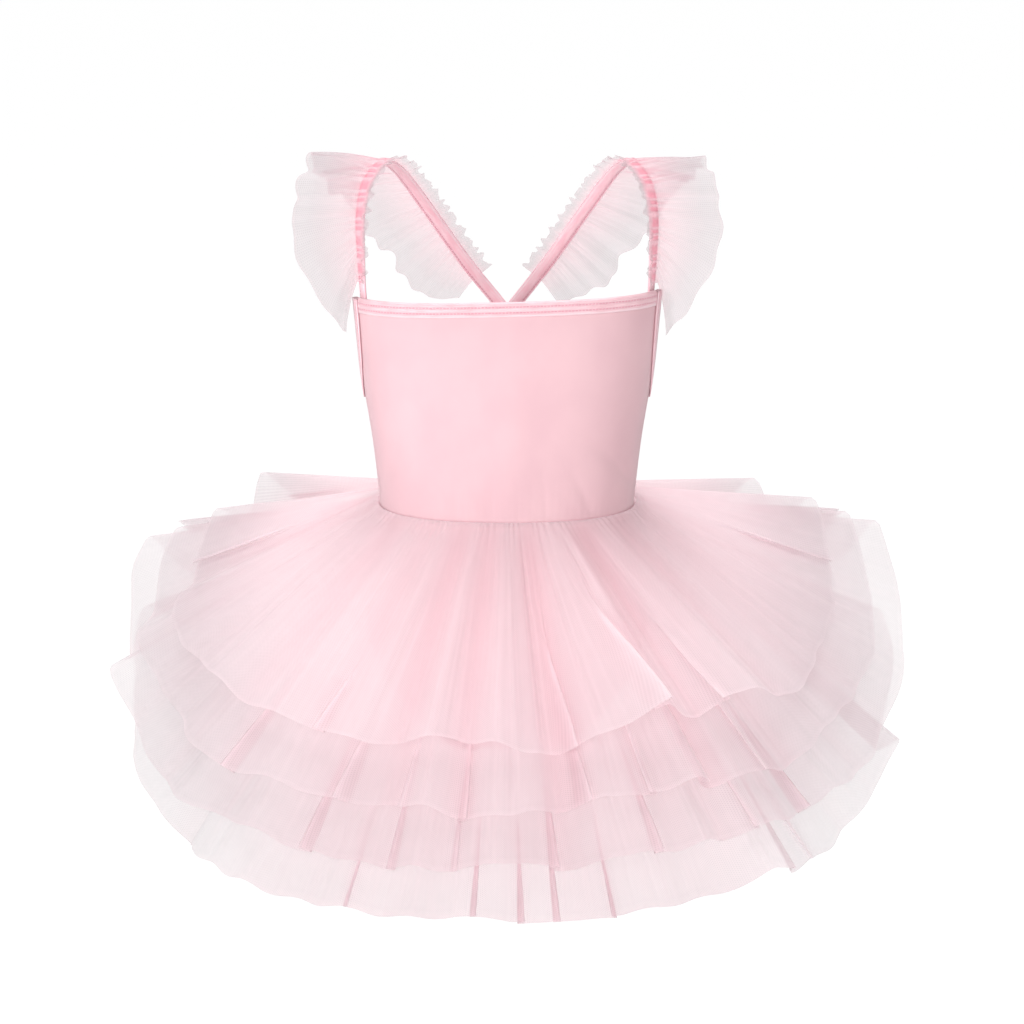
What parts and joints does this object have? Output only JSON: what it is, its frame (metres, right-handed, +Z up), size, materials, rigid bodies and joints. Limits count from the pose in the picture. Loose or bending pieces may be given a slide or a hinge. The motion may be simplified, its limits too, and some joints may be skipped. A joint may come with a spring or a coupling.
{
  "type": "ballet leotard",
  "caption": "Small child's sleeveless ballet leotard with crossed frilled straps and a skirt of gathered tulle tiers.",
  "frame": {"origin": "midway between the undersides of the two straps where they cross the wearer's shoulders", "axes": "+Z up along the body, -Y to the front of the garment, +X to the wearer's left"},
  "size_m": [0.578, 0.4952, 0.4797],
  "materials": {
    "knit": "smooth matt stretch knit",
    "binding": "satin folded elastic",
    "strap": "satin elastic",
    "tulle": "sheer soft net"
  },
  "bodies": {
    "root": {"front_bodice": "knit", "back_bodice": "knit", "brief_front": "knit", "brief_back": "knit", "neck_binding": "binding", "back_binding": "binding", "armhole_binding_left": "binding", "armhole_binding_right": "binding", "leg_binding_left": "binding", "leg_binding_right": "binding", "strap_left": "strap", "strap_right": "strap", "strap_frill_left": "tulle", "strap_frill_right": "tulle", "tulle_tier_1_front": "tulle", "tulle_tier_1_back": "tulle", "tulle_tier_2_front": "tulle", "tulle_tier_2_back": "tulle", "tulle_tier_3_front": "tulle", "tulle_tier_3_back": "tulle", "tulle_tier_4_front": "tulle", "tulle_tier_4_back": "tulle"}
  },
  "joints": []
}
